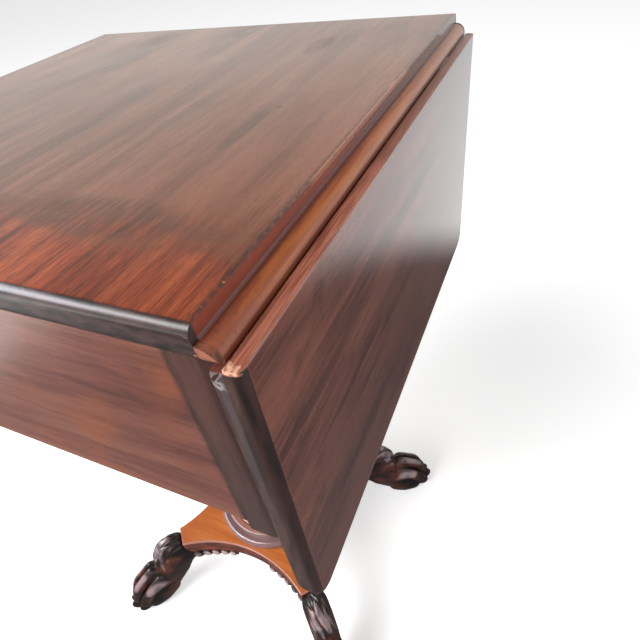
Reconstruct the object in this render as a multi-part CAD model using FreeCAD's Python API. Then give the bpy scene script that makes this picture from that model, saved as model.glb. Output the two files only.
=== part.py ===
import FreeCAD, Part
import math
import os

# Drop-leaf end table of veneered mahogany on a turned column and four paw feet.
# Frame: origin on the floor under the middle, +Z up, +X towards the right leaf,
# the plain back panel faces -Y and the drawers open towards +Y. Lengths are in mm.

# Overall sizes
height = 740.0
top_flat_width = 406.0
top_flat_length = 406.0
top_thickness = 19.0
leaf_drop = 216.0
case_height = 198.0
platform_top = 143.0
platform_thickness = 27.0
paw_reach = 272.0

# Edges of the top and leaves
edge_round_above = 4.5
edge_round_below = 8.0
leaf_corner = 16.0

# Rule joint between the top and each leaf
rule_step = 8.0
ovolo_radius = 8.5
joint_gap = 0.3
cove_gap = 0.6

# Case framing, set in from the flat of the top
case_side_inset = 19.0
case_end_inset = 17.0
post_size = 28.0
post_corner = 9.0
post_arris = 5.0
panel_setback = 4.0
panel_thickness = 12.0
housing = 6.0
rail_thickness = 22.0
top_rail_height = 24.0
blade_height = 14.0
bottom_thickness = 14.0
runner_width = 28.0
guide_height = 20.0
block_size = 24.0
block_length = 40.0
block_spacing = 170.0

# Drawers
drawer_play = 1.0
drawer_lift = 0.3
drawer_front_thickness = 18.0
drawer_side_thickness = 10.0
drawer_base_thickness = 6.0
drawer_base_height = 7.0
drawer_groove = 5.0
drawer_lap = 10.0
drawer_rear_gap = 22.0
knob_spacing = 180.0
knob_radius = 14.0
knob_foot = 9.0
knob_reach = 22.0
knob_neck = 6.5
knob_tenon = 5.0
knob_tenon_length = 12.0

# Pull-out leaf supports and their channel
loper_width = 24.0
loper_length = 280.0
loper_travel = 120.0
loper_apart = 8.0
loper_play = 0.3
carrier_thickness = 5.0
channel_wall = 15.0
peg_radius = 3.0
peg_place_share = 0.62
grip_radius = 7.0
grip_depth = 4.0
grip_inset = 10.0

# Rule-joint hinges
hinge_spacing = 260.0
hinge_width = 34.0
flap_thickness = 1.6
short_flap = 30.0
long_flap = 46.0
barrel_radius = 2.5
pin_radius = 1.2
pin_play = 0.05
knuckle_gap = 0.3
middle_knuckle_share = 0.4
recess_play = 0.3
screw_head_radius = 3.2
screw_shank_radius = 1.5
screw_length = 10.0
screw_play = 0.1
short_screw_place = 18.0
long_screw_places = (20.0, 36.0)
screw_row_share = 0.3

# Turned column, its cap and its collar
cap_radius = 78.0
cap_thickness = 18.0
cap_bevel = 4.0
cap_screw_circle = 58.0
cap_screw_shank = 2.5
cap_screw_head = 5.0
cap_screw_head_depth = 4.0
cap_screw_grip = 9.0
collar_radius = 83.0
collar_height = 12.0
collar_round = 5.5
bead_outer = 72.5
bead_height = 7.0
bead_round = 2.6
column_foot = 64.0
tenon_radius = 20.0
tenon_play = 0.05

# Four-cornered platform
platform_long = 117.0
platform_short = 97.5
platform_hollow = 88.0
platform_arris = 1.5

# Carved legs
leg_width = 44.0
toe_count = 4
dowel_radius = 4.0
dowel_length = 22.0
dowel_inset = 9.0

# Carved wing brackets under the platform's hollow sides
wing_start = 27.0
wing_length = 66.0
wing_height = 22.0
wing_tip_height = 10.0
wing_thickness = 12.0
wing_proud = 2.5
wing_lean = 3.0
wing_lobes = 5

# Heights and places that follow from the sizes above
underside = height - top_thickness
axis_x = top_flat_width / 2
axis_z = height - rule_step - ovolo_radius
top_half_length = top_flat_length / 2 + edge_round_above
cove_radius = ovolo_radius + cove_gap
case_x = top_flat_width / 2 - case_side_inset
case_y = top_flat_length / 2 - case_end_inset
case_floor = underside - case_height
post_inner_x = case_x - post_size
post_inner_y = case_y - post_size
panel_x = case_x - panel_setback
panel_y = case_y - panel_setback
side_inner = panel_x - panel_thickness
back_inner = panel_y - panel_thickness
rail_inner = panel_y - rail_thickness
board_top = case_floor + bottom_thickness
opening_top = underside - top_rail_height
opening_height = (opening_top - board_top - blade_height) / 2
blade_floor = board_top + opening_height
blade_top = blade_floor + blade_height
platform_floor = platform_top - platform_thickness
overrun = top_thickness


def vec(x, y, z):
    return FreeCAD.Vector(x, y, z)


x_way = vec(1, 0, 0)
y_way = vec(0, 1, 0)
z_way = vec(0, 0, 1)


def box(xs, ys, zs):
    size = (xs[1] - xs[0], ys[1] - ys[0], zs[1] - zs[0])
    return Part.makeBox(*size, vec(xs[0], ys[0], zs[0]))


def mirror_x(shape):
    return shape.mirror(vec(0, 0, 0), x_way)


def mirror_y(shape):
    return shape.mirror(vec(0, 0, 0), y_way)


def turned(shape, degrees):
    copy = shape.copy()
    copy.rotate(vec(0, 0, 0), z_way, degrees)
    return copy


def in_plan(z):
    return lambda u, v: vec(u, v, z)


def in_front_view(y):
    return lambda u, v: vec(u, y, v)


def outline(corners, place):
    """Closed wire through corners (u, v, radius), each rounded by its own radius."""
    starts, ends, arcs = [], [], []
    count = len(corners)
    for i, (u, v, radius) in enumerate(corners):
        corner = place(u, v)
        before = place(*corners[i - 1][:2]) - corner
        after = place(*corners[(i + 1) % count][:2]) - corner
        before.normalize()
        after.normalize()
        half = before.getAngle(after) / 2
        reach = radius / math.tan(half)
        inward = before + after
        inward.normalize()
        centre = corner + inward * (radius / math.sin(half))
        starts.append(corner + before * reach)
        ends.append(corner + after * reach)
        arcs.append(centre - inward * radius if radius else None)
    edges = []
    for i in range(count):
        if arcs[i] is not None:
            edges.append(Part.Arc(starts[i], arcs[i], ends[i]).toShape())
        follower = starts[(i + 1) % count]
        if ends[i].distanceToPoint(follower) > joint_gap / leaf_drop:
            edges.append(Part.LineSegment(ends[i], follower).toShape())
    return Part.Wire(edges)


def prism(corners, place, way):
    return Part.Face(outline(corners, place)).extrude(way)


def revolve(profile):
    """Solid turned about the Z axis from (radius, height, corner radius) points."""
    face = Part.Face(outline(profile, in_front_view(0)))
    return face.revolve(vec(0, 0, 0), z_way, 360)


def level_edges(shape, z):
    found = []
    for edge in shape.Edges:
        limits = edge.BoundBox
        if abs(limits.ZMin - z) + abs(limits.ZMax - z) < joint_gap:
            found.append(edge)
    return found


def countersunk(radius, shank, head, length, grow):
    """Screw along +Z with its head at the origin, made larger all round by grow."""
    cone = Part.makeCone(radius + grow, shank + grow, head + grow)
    rod = Part.makeCylinder(shank + grow, length + grow)
    return cone.fuse(rod).removeSplitter()


def moved(shape, x, y, z):
    copy = shape.copy()
    copy.translate(vec(x, y, z))
    return copy


# Rule-joint hinge, drawn with the leaf raised level with the top, at y = 0
def knuckles(spans):
    parts = [Part.makeCylinder(barrel_radius, high - low, vec(axis_x, low, axis_z), y_way)
             for low, high in spans]
    return parts[0].fuse(parts[1:]) if parts[1:] else parts[0]


def pin_bore(grow):
    return Part.makeCylinder(pin_radius + grow, hinge_width, vec(axis_x, -hinge_width / 2, axis_z), y_way)


half_hinge = hinge_width / 2
half_middle = half_hinge * middle_knuckle_share
flap_z = (axis_z - barrel_radius, axis_z - barrel_radius + flap_thickness)
clear_barrel = barrel_radius + knuckle_gap


def hinge_screw(grow):
    return countersunk(screw_head_radius, screw_shank_radius, flap_thickness, screw_length, grow)


def short_screws(grow):
    x = axis_x - short_screw_place
    y = hinge_width * screw_row_share
    return [moved(hinge_screw(grow), x, side * y, flap_z[0]) for side in (-1, 1)]


def long_screws(grow):
    near, far = (axis_x + place for place in long_screw_places)
    y = hinge_width * screw_row_share
    rows = [(near, -y), (near, y), (far, 0)]
    return [moved(hinge_screw(grow), x, y, flap_z[0]) for x, y in rows]


def top_flap():
    plate = box((axis_x - short_flap, axis_x), (-half_hinge, half_hinge), flap_z)
    middle = half_middle + knuckle_gap
    room = box((axis_x - clear_barrel, axis_x + clear_barrel), (-middle, middle),
               (axis_z - clear_barrel, axis_z + clear_barrel))
    ends = knuckles([(-half_hinge, -middle), (middle, half_hinge)])
    return plate.cut(room).fuse(ends).cut(pin_bore(pin_play)).cut(short_screws(screw_play))


def leaf_flap():
    plate = box((axis_x, axis_x + long_flap), (-half_hinge, half_hinge), flap_z)
    rooms = [box((axis_x, axis_x + clear_barrel), span, (axis_z - clear_barrel, axis_z))
             for span in ((-half_hinge, -half_middle), (half_middle, half_hinge))]
    middle = knuckles([(-half_middle, half_middle)])
    return plate.cut(rooms).fuse(middle).cut(pin_bore(pin_play)).cut(long_screws(screw_play))


def top_recess():
    """Room in the fixed top for the short flap, the barrel and the long flap's swing."""
    wide = half_hinge + recess_play
    plate = box((axis_x - short_flap - recess_play, axis_x + ovolo_radius + recess_play),
                (-wide, wide), (underside - overrun, flap_z[1] + recess_play))
    groove = Part.makeCylinder(barrel_radius + recess_play, wide + wide,
                               vec(axis_x, -wide, axis_z), y_way)
    return [plate, groove] + short_screws(screw_play)


def leaf_recess():
    wide = half_hinge + recess_play
    plate = box((axis_x, axis_x + long_flap + recess_play), (-wide, wide),
                (underside - overrun, flap_z[1] + screw_play))
    return [plate] + long_screws(screw_play)


hinge_places = (-hinge_spacing / 2, hinge_spacing / 2)


def at_hinges(shapes):
    return [moved(shape, 0, y, 0) for y in hinge_places for shape in shapes]


def hang(shape):
    """Swing a right-hand piece from the raised leaf down to the hanging leaf."""
    copy = shape.copy()
    copy.rotate(vec(axis_x, 0, axis_z), y_way, 90)
    return copy


def rounded_board(x_low, x_high, corner):
    """Board as thick as the top, rounded all round, with two corners of its own radius."""
    corners = [(x_low, -top_half_length, 0), (x_high, -top_half_length, corner),
               (x_high, top_half_length, corner), (x_low, top_half_length, 0)]
    board = prism(corners, in_plan(underside), z_way * top_thickness)
    board = board.makeFillet(edge_round_above, level_edges(board, height))
    return board.makeFillet(edge_round_below, level_edges(board, underside))


# Fixed top: the section across its rule joints, cut from a board with rounded ends
def fixed_top():
    lip = math.sqrt(ovolo_radius ** 2 - (axis_z - underside) ** 2)
    edge = axis_x + ovolo_radius
    half = [(axis_x, height, 0), (axis_x, height - rule_step, 0),
            (edge, height - rule_step, ovolo_radius), (edge, axis_z - joint_gap, 0),
            (axis_x + lip, underside, 0)]
    other = [(-x, z, radius) for x, z, radius in reversed(half)]
    across = prism(half + other, in_front_view(-top_half_length), y_way * (2 * top_half_length))
    wood = across.common(rounded_board(-top_flat_width, top_flat_width, 0))
    holes = at_hinges(top_recess())
    return wood.cut(holes + [mirror_x(hole) for hole in holes])


# Leaf: the board with its cove and hinge recesses, drawn level and then hung down
def leaf():
    board = rounded_board(0, axis_x + leaf_drop, leaf_corner)
    long = (-top_flat_length, top_flat_length)
    inner = box((-overrun, axis_x + joint_gap), long, (underside - overrun, height + overrun))
    lip = box((0, axis_x + cove_radius), long, (underside - overrun, axis_z))
    cove = Part.makeCylinder(cove_radius, long[1] - long[0], vec(axis_x, long[0], axis_z), y_way)
    return hang(board.cut([inner, lip, cove] + at_hinges(leaf_recess())))


# Case: posts, panels and rails
def corner_post():
    corners = [(post_inner_x, post_inner_y, 0), (case_x, post_inner_y, post_arris),
               (case_x, case_y, post_corner), (post_inner_x, case_y, post_arris)]
    return prism(corners, in_plan(case_floor), z_way * case_height)


def back_panel():
    wide = post_inner_x + housing
    return box((-wide, wide), (-panel_y, -back_inner), (case_floor, underside))


def side_panel():
    wide = post_inner_y + housing
    panel = box((side_inner, panel_x), (-wide, wide), (case_floor, underside))
    slot = box((side_inner - overrun, panel_x + overrun),
               (loper_apart / 2, loper_apart / 2 + loper_width + 2 * loper_play),
               (loper_floor - loper_play, underside + overrun))
    return panel.cut(slot)


def front_rail(low, high):
    wide = post_inner_x + housing
    return box((-wide, wide), (rail_inner, panel_y), (low, high))


def case_bottom():
    return box((-side_inner, side_inner), (-back_inner, rail_inner), (case_floor, board_top))


def runner():
    return box((side_inner - runner_width, side_inner), (-back_inner, rail_inner), (blade_floor, blade_top))


def guides():
    strips = [box((post_inner_x, side_inner), (-post_inner_y, post_inner_y), (z, z + guide_height))
              for z in (board_top, blade_top)]
    return strips + [mirror_x(strip) for strip in strips]


def glue_blocks():
    y = block_spacing / 2
    block = box((side_inner - block_size, side_inner), (y - block_length / 2, y + block_length / 2),
                (opening_top, underside))
    pair = [block, mirror_y(block)]
    return pair + [mirror_x(shape) for shape in pair]


# Pull-out leaf supports: two bars side by side in a channel under the top
carrier_top = opening_top + carrier_thickness
loper_floor = carrier_top + loper_play
loper_roof = underside - loper_play
channel_half = loper_apart / 2 + loper_width + 2 * loper_play + channel_wall
peg_x = case_x - loper_length * peg_place_share


def loper():
    y = loper_apart / 2 + loper_play
    bar = box((case_x - loper_length, case_x), (y, y + loper_width), (loper_floor, loper_roof))
    grip = Part.makeCylinder(grip_radius, loper_width, vec(case_x - grip_inset, y,
                             loper_floor - grip_radius + grip_depth), y_way)
    return bar.cut([grip, peg(pin_play)])


def peg(grow):
    y = loper_apart / 2 + loper_play + loper_width / 2
    low = opening_top + loper_play
    return Part.makeCylinder(peg_radius + grow, loper_roof - low, vec(peg_x, y, low))


def peg_slot():
    y = loper_apart / 2 + loper_play + loper_width / 2
    half = peg_radius + loper_play
    corners = [(peg_x - half, y - half, 0), (peg_x + loper_travel + half, y - half, 0),
               (peg_x + loper_travel + half, y + half, 0), (peg_x - half, y + half, 0)]
    return prism(corners, in_plan(opening_top - overrun), z_way * (2 * overrun + carrier_thickness))


def loper_carrier():
    board = box((-side_inner, side_inner), (-channel_half, channel_half), (opening_top, carrier_top))
    return board.cut([peg_slot(), turned(peg_slot(), 180)])


def channel_walls():
    inner = loper_apart / 2
    outer = channel_half - channel_wall
    spans = [(-channel_half, -outer), (-inner, inner), (outer, channel_half)]
    return [box((-side_inner, side_inner), span, (carrier_top, underside)) for span in spans]


# Drawers: lapped front and sides, a back above the bottom, and two turned knobs
drawer_half = post_inner_x - drawer_play
drawer_inner = drawer_half - drawer_side_thickness
drawer_height = opening_height - drawer_lift - drawer_play
front_back = panel_y - drawer_front_thickness
drawer_tail = drawer_rear_gap - back_inner


def drawer_base(z):
    wide = drawer_inner + drawer_groove
    low = z + drawer_base_height
    return box((-wide, wide), (drawer_tail, front_back + drawer_groove), (low, low + drawer_base_thickness))


def drawer_side(z):
    side = box((drawer_inner, drawer_half), (drawer_tail, front_back + drawer_lap), (z, z + drawer_height))
    return side.cut(drawer_base(z))


def drawer_front(z):
    board = box((-drawer_half, drawer_half), (front_back, panel_y), (z, z + drawer_height))
    side = drawer_side(z)
    holes = [moved(knob(pin_play), x, 0, z + drawer_height / 2) for x in knob_places]
    return board.cut([side, mirror_x(side), drawer_base(z)] + holes)


def drawer_back(z):
    low = z + drawer_base_height + drawer_base_thickness
    return box((-drawer_inner, drawer_inner), (drawer_tail, drawer_tail + drawer_side_thickness),
               (low, z + drawer_height))


knob_places = (-knob_spacing / 2, knob_spacing / 2)


def knob(grow):
    """Mushroom knob along +Y with its tenon in the drawer front."""
    tenon = knob_tenon + grow
    mid = knob_reach / 2
    profile = [(0, -knob_tenon_length - grow, 0), (tenon, -knob_tenon_length - grow, 0), (tenon, 0, 0),
               (knob_foot, 0, 0), (knob_neck, knob_reach / 4, 0), (knob_neck, mid, 0),
               (knob_radius, mid, 0), (knob_radius, knob_reach, knob_neck), (0, knob_reach, 0)]
    shape = revolve(profile)
    shape.rotate(vec(0, 0, 0), x_way, -90)
    shape.translate(vec(0, panel_y, 0))
    return shape


# Column, cap and collar
collar_top = platform_top + collar_height
bead_top = collar_top + bead_height
cap_floor = case_floor - cap_thickness


def column_collar():
    hole = tenon_radius + tenon_play
    return revolve([(hole, platform_top, 0), (collar_radius, platform_top, 0),
                    (collar_radius, collar_top, collar_round), (bead_outer, collar_top, 0),
                    (bead_outer, bead_top, bead_round), (column_foot, bead_top, 0),
                    (column_foot, collar_top, 0), (hole, collar_top, 0)])


# Outline of the turned column, from the dome on the collar to the flare under the cap:
# share of the column's height, share of its foot's radius, and corner radius as a share
column_shares = ((0.0, 0.985, 0.0), (0.025, 0.985, 0.0), (0.062, 0.74, 0.22), (0.066, 0.58, 0.0),
                 (0.11, 0.49, 0.15), (0.15, 0.48, 0.0), (0.151, 0.57, 0.0), (0.159, 0.62, 0.0),
                 (0.172, 0.62, 0.0), (0.18, 0.57, 0.0), (0.181, 0.48, 0.0), (0.31, 0.89, 1.1),
                 (0.43, 0.86, 2.3), (0.715, 0.42, 1.3), (0.77, 0.42, 0.0), (0.771, 0.51, 0.0),
                 (0.781, 0.56, 0.0), (0.796, 0.56, 0.0), (0.806, 0.51, 0.0), (0.807, 0.45, 0.0),
                 (0.86, 0.46, 0.5), (0.945, 0.86, 0.35), (0.965, 1.0, 0.0), (1.0, 1.0, 0.0))


def column():
    rise = cap_floor - collar_top
    profile = [(share_r * column_foot, collar_top + share_z * rise, share_c * column_foot)
               for share_z, share_r, share_c in column_shares]
    head = cap_floor + cap_thickness / 2
    foot = platform_floor
    profile = [(0, foot, 0), (tenon_radius, foot, 0), (tenon_radius, collar_top, 0)] + profile
    profile += [(tenon_radius, cap_floor, 0), (tenon_radius, head, 0), (0, head, 0)]
    return revolve(profile)


def cap_screw(grow):
    length = cap_thickness + cap_screw_grip
    return countersunk(cap_screw_head, cap_screw_shank, cap_screw_head_depth, length, grow)


def cap_screws(grow):
    screw = moved(cap_screw(grow), cap_screw_circle, 0, cap_floor)
    return [turned(screw, 45 + 90 * i) for i in range(4)]


def column_cap():
    hole = tenon_radius + tenon_play
    half = cap_floor + cap_thickness / 2
    disc = revolve([(hole, cap_floor, 0), (cap_radius - cap_bevel, cap_floor, 0),
                    (cap_radius, cap_floor + cap_bevel, 0), (cap_radius, case_floor, 0),
                    (0, case_floor, 0), (0, half + tenon_play, 0), (hole, half + tenon_play, 0)])
    return disc.cut(cap_screws(screw_play))


# Platform with four hollow sides and canted corners
hollow_depth = platform_long - platform_hollow
hollow_radius = (platform_short ** 2 + hollow_depth ** 2) / (2 * hollow_depth)
hollow_centre = platform_hollow + hollow_radius


def platform_prism(low, high):
    """Solid on the platform's outline, between two heights."""
    edges = []
    for i in range(4):
        start = vec(-platform_short, -platform_long, low)
        middle = vec(0, -platform_hollow, low)
        corner = vec(platform_short, -platform_long, low)
        after = vec(platform_long, -platform_short, low)
        edges.append(turned(Part.Arc(start, middle, corner).toShape(), 90 * i))
        edges.append(turned(Part.LineSegment(corner, after).toShape(), 90 * i))
    return Part.Face(Part.Wire(edges)).extrude(z_way * (high - low))


def platform():
    slab = platform_prism(platform_floor, platform_top)
    slab = slab.makeFillet(platform_arris, level_edges(slab, platform_top))
    bore = Part.makeCylinder(tenon_radius + tenon_play, 2 * height)
    return slab.cut([bore] + at_corners(leg_dowel(pin_play)))


def at_corners(shape):
    return [turned(shape, 90 * i) for i in range(4)]


# Legs: a knee against the platform's corner, a notch, and a paw with a ridge for each toe.
# A row is one section of the leg: its top and its underside, each as shares of the reach past
# the platform's corner and of the platform's height, then shares for the width and the grooves
corner_reach = (platform_long + platform_short) / math.sqrt(2)
leg_shares = ((-0.23, 0.86, -0.25, 0.76, 0.36, 0.0), (-0.11, 0.91, -0.11, 0.64, 0.62, 0.0),
              (0.0, 0.98, 0.0, 0.56, 0.78, 0.0), (0.05, 1.045, 0.05, 0.49, 0.82, 0.0),
              (0.17, 1.06, 0.10, 0.41, 0.83, 0.0), (0.31, 1.0, 0.16, 0.34, 0.82, 0.0),
              (0.41, 0.85, 0.22, 0.28, 0.79, 0.0), (0.46, 0.70, 0.28, 0.22, 0.75, 0.02),
              (0.54, 0.71, 0.34, 0.165, 0.84, 0.08), (0.65, 0.63, 0.40, 0.11, 0.93, 0.11),
              (0.77, 0.505, 0.46, 0.066, 0.98, 0.12), (0.875, 0.38, 0.51, 0.036, 1.0, 0.11),
              (0.945, 0.27, 0.55, 0.018, 0.97, 0.13), (0.985, 0.16, 0.58, 0.008, 0.88, 0.15),
              (0.97, 0.06, 0.60, 0.003, 0.70, 0.15), (0.92, 0.0, 0.62, 0.0, 0.48, 0.14))
leg_centre_share = 0.45
ridge_share = 0.5


def leg_section(row):
    """Closed wire: an arch of ridges over the top, and two plain arcs underneath."""
    top_out, top_up, low_out, low_up, wide, groove = row
    span = paw_reach - corner_reach
    top = vec(corner_reach + top_out * span, 0, top_up * platform_top)
    low = vec(corner_reach + low_out * span, 0, low_up * platform_top)
    centre = low + (top - low) * leg_centre_share
    half_width = y_way * (wide * leg_width / 2)

    def rim(degrees, factor):
        angle = math.radians(degrees)
        upright = top - centre if degrees < 180 else low - centre
        return centre + (half_width * math.cos(angle) + upright * abs(math.sin(angle))) * factor

    edges = []
    turn = 180 / toe_count
    for i in range(toe_count):
        start = rim(i * turn, 1 - groove if i else 1)
        end = rim((i + 1) * turn, 1 - groove if i + 1 < toe_count else 1)
        ridge = rim((i + 1 / 2) * turn, 1 + groove * ridge_share)
        edges.append(Part.Arc(start, ridge, end).toShape())
    for begin in (180, 270):
        edges.append(Part.Arc(rim(begin, 1), rim(begin + 45, 1), rim(begin + 90, 1)).toShape())
    return Part.Wire(edges)


def leg():
    limb = Part.makeLoft([leg_section(row) for row in leg_shares], True, True)
    limb.rotate(vec(0, 0, 0), z_way, -45)
    return limb.cut([platform_prism(platform_floor, height), leg_dowel(pin_play)])


def leg_dowel(grow):
    reach = (corner_reach - dowel_inset) / math.sqrt(2)
    low = platform_floor - dowel_length / 2 - grow
    return Part.makeCylinder(dowel_radius + grow, dowel_length + 2 * grow, vec(reach, -reach, low))


# Wing brackets: boards that follow the hollow side, carved into a row of leaning lobes
def wing():
    """Wing on the -Y side, running from near its middle towards the leg at +X."""
    first, last = (math.asin((wing_start + share * wing_length) / hollow_radius) for share in (0, 1))

    def at(lobe, radius):
        angle = first + (last - first) * lobe / wing_lobes
        return vec(radius * math.sin(angle), radius * math.cos(angle) - hollow_centre, platform_floor)

    near, far = at(0, hollow_radius), at(wing_lobes, hollow_radius)
    along = far - near
    inward = vec(-along.y, along.x, 0).normalize()
    back = hollow_radius + wing_thickness
    plan = [Part.LineSegment(far, at(wing_lobes, back)),
            Part.Arc(at(wing_lobes, back), at(wing_lobes / 2, back), at(0, back)),
            Part.LineSegment(at(0, back), near)]
    for i in range(wing_lobes):
        plan.append(Part.Arc(at(i, hollow_radius), at(i + 1 / 2, hollow_radius - wing_proud),
                             at(i + 1, hollow_radius)))
    lean = along * (wing_lean / wing_length) - z_way * (wing_height + wing_proud)
    lobes = Part.Face(Part.Wire([edge.toShape() for edge in plan])).extrude(lean)

    def foot(lobe, extra):
        deep = wing_tip_height + (wing_height - wing_tip_height) * lobe / wing_lobes
        return near + along * (lobe / wing_lobes) - z_way * (deep + extra)

    side = [Part.LineSegment(far, near), Part.LineSegment(near, foot(0, 0))]
    for i in range(wing_lobes):
        side.append(Part.Arc(foot(i, 0), foot(i + 1 / 2, wing_proud), foot(i + 1, 0)))
    side.append(Part.LineSegment(foot(wing_lobes, 0), far))
    profile = Part.Face(Part.Wire([edge.toShape() for edge in side]))
    profile.translate(inward * -overrun)
    return lobes.common(profile.extrude(inward * (wing_thickness + 2 * overrun)))


def wing_pair():
    """The two wings beside the leg at +X, -Y."""
    one = wing()
    return [one, turned(mirror_x(one), 90)]


pieces = {}


def add(name, shapes):
    group = shapes if isinstance(shapes, list) else [shapes]
    solids = [solid for shape in group for solid in shape.Solids]
    pieces[name] = solids[0] if len(solids) == 1 else Part.makeCompound(solids)


add("table_top", fixed_top())
add("right_leaf", leaf())
add("left_leaf", mirror_x(leaf()))

sides = {"right": lambda shape: shape, "left": mirror_x}
for side, place in sides.items():
    add(side + "_hinge_top_flaps", [place(shape) for shape in at_hinges([top_flap()])])
    add(side + "_hinge_leaf_flaps", [place(hang(shape)) for shape in at_hinges([leaf_flap()])])
    add(side + "_hinge_pins", [place(shape) for shape in at_hinges([pin_bore(0)])])
    add(side + "_leaf_screws", [place(hang(shape)) for shape in at_hinges(long_screws(0))])
short_set = at_hinges(short_screws(0))
add("top_flap_screws", short_set + [mirror_x(shape) for shape in short_set])

panel = side_panel()
other_panel = turned(panel, 180)
rails = {"top_rail": front_rail(opening_top, underside), "drawer_blade": front_rail(blade_floor, blade_top),
         "bottom_rail": front_rail(case_floor, board_top)}
post = corner_post()
posts = {"front_right_post": post, "front_left_post": mirror_x(post),
         "back_right_post": mirror_y(post), "back_left_post": mirror_x(mirror_y(post))}
add("back_panel", back_panel())
add("right_side_panel", panel)
add("left_side_panel", other_panel)
for name, rail in rails.items():
    add(name, rail)
for name, shape in posts.items():
    add(name, shape.cut([back_panel(), panel, other_panel] + list(rails.values())))
solid_posts = list(posts.values())
add("case_bottom", case_bottom().cut(solid_posts + cap_screws(screw_play)))
add("drawer_runners", [shape.cut(solid_posts) for shape in (runner(), mirror_x(runner()))])
add("drawer_guides", guides())
add("glue_blocks", glue_blocks())
add("loper_carrier", loper_carrier())
add("loper_channel_walls", channel_walls())
add("right_loper", loper())
add("right_loper_peg", peg(0))
add("left_loper", turned(loper(), 180))
add("left_loper_peg", turned(peg(0), 180))

for level, z in (("lower", board_top + drawer_lift), ("upper", blade_top + drawer_lift)):
    side = drawer_side(z)
    add(level + "_drawer_front", drawer_front(z))
    add(level + "_drawer_right_side", side)
    add(level + "_drawer_left_side", mirror_x(side))
    add(level + "_drawer_back", drawer_back(z))
    add(level + "_drawer_bottom", drawer_base(z))
    add(level + "_drawer_knobs", [moved(knob(0), x, 0, z + drawer_height / 2) for x in knob_places])

add("column_cap", column_cap())
add("cap_screws", cap_screws(0))
add("turned_column", column())
add("column_collar", column_collar())
add("platform", platform())
add("leg_dowels", at_corners(leg_dowel(0)))
corners = ("back_right", "front_right", "front_left", "back_left")
one_leg = leg()
wings = [shape.cut([one_leg, leg_dowel(pin_play)]) for shape in wing_pair()]
for i, corner in enumerate(corners):
    add(corner + "_leg", turned(one_leg, 90 * i))
    add(corner + "_wings", [turned(shape, 90 * i) for shape in wings])

os.makedirs("parts", exist_ok=True)
for name, shape in pieces.items():
    shape.exportStep("parts/" + name + ".step")
print(len(pieces), "pieces")
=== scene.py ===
import math

import bmesh
import bpy
from mathutils import Matrix, Vector, noise


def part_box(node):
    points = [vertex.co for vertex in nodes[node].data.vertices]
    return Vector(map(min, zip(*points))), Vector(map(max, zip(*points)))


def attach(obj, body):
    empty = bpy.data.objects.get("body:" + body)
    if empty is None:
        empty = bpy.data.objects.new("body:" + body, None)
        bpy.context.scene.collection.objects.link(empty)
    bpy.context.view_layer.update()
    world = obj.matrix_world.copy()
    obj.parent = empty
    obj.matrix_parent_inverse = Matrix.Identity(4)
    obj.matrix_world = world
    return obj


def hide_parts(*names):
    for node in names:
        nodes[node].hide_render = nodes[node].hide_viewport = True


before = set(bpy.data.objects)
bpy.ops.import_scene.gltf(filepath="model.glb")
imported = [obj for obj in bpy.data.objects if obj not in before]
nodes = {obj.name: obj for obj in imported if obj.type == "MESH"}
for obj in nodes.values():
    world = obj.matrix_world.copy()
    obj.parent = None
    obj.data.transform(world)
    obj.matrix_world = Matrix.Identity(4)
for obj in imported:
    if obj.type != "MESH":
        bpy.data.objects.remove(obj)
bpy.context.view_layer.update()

# Platform: a sawn slab of mahogany with four hollow sides and canted corners. The top is veneered
# and French polished to a bright orange-brown, and the edge is left darker. The legs are dowelled
# to it and the wing brackets are glued under it. The tools for every finish start here.
X, Y, Z = 0, 1, 2


def paint(red, green, blue):
    """A colour given as eye sees it, 0 to 255, as the linear colour that a shader takes."""
    shades = [part / 255 for part in (red, green, blue)]
    return tuple(s / 12.92 if s < 0.04045 else ((s + 0.055) / 1.055) ** 2.4 for s in shades) + (1.0,)


class Amount:
    """A number that varies over a surface. Arithmetic on it adds Math nodes to its finish."""

    def __init__(self, finish, socket):
        self.finish = finish
        self.socket = socket

    def math(self, operation, first, second=0.0):
        return self.finish.node("ShaderNodeMath", {"operation": operation}, {0: first, 1: second})

    def __add__(self, other):
        return self.math("ADD", self, other)

    def __radd__(self, other):
        return self.math("ADD", other, self)

    def __sub__(self, other):
        return self.math("SUBTRACT", self, other)

    def __rsub__(self, other):
        return self.math("SUBTRACT", other, self)

    def __mul__(self, other):
        return self.math("MULTIPLY", self, other)

    def __rmul__(self, other):
        return self.math("MULTIPLY", other, self)

    def __truediv__(self, other):
        return self.math("DIVIDE", self, other)

    def __abs__(self):
        return self.math("ABSOLUTE", self)

    def least(self, other):
        return self.math("MINIMUM", self, other)

    def most(self, other):
        return self.math("MAXIMUM", self, other)

    def rise(self, low, high):
        """0 below low, 1 above high and a smooth step between; low above high turns it round."""
        ends = {"Value": self, "From Min": low, "From Max": high}
        return self.finish.node("ShaderNodeMapRange", {"interpolation_type": "SMOOTHSTEP"}, ends)

    def band(self, low, high, soft):
        """1 between low and high, falling to 0 over the soft distance outside them."""
        return self.rise(low - soft, low) * self.rise(high + soft, high)


class Tree:
    """Nodes added to one node tree."""

    def __init__(self, tree):
        self.tree = tree

    def link(self, amount, socket):
        self.tree.links.new(amount.socket, socket)

    def node(self, kind, settings=(), values=(), out=0):
        """Add a node: its settings first, then the values or links of its sockets."""
        made = self.tree.nodes.new(kind)
        for name, value in dict(settings).items():
            if name == "stops":
                ramp = made.color_ramp
                while len(ramp.elements) < len(value):
                    ramp.elements.new(1.0)
                for element, (position, colour) in zip(ramp.elements, value):
                    element.position = position
                    element.color = colour
            else:
                setattr(made, name, value)
        for key, value in dict(values).items():
            if isinstance(value, Amount):
                self.link(value, made.inputs[key])
            else:
                made.inputs[key].default_value = value
        return Amount(self, made.outputs[out])


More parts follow.
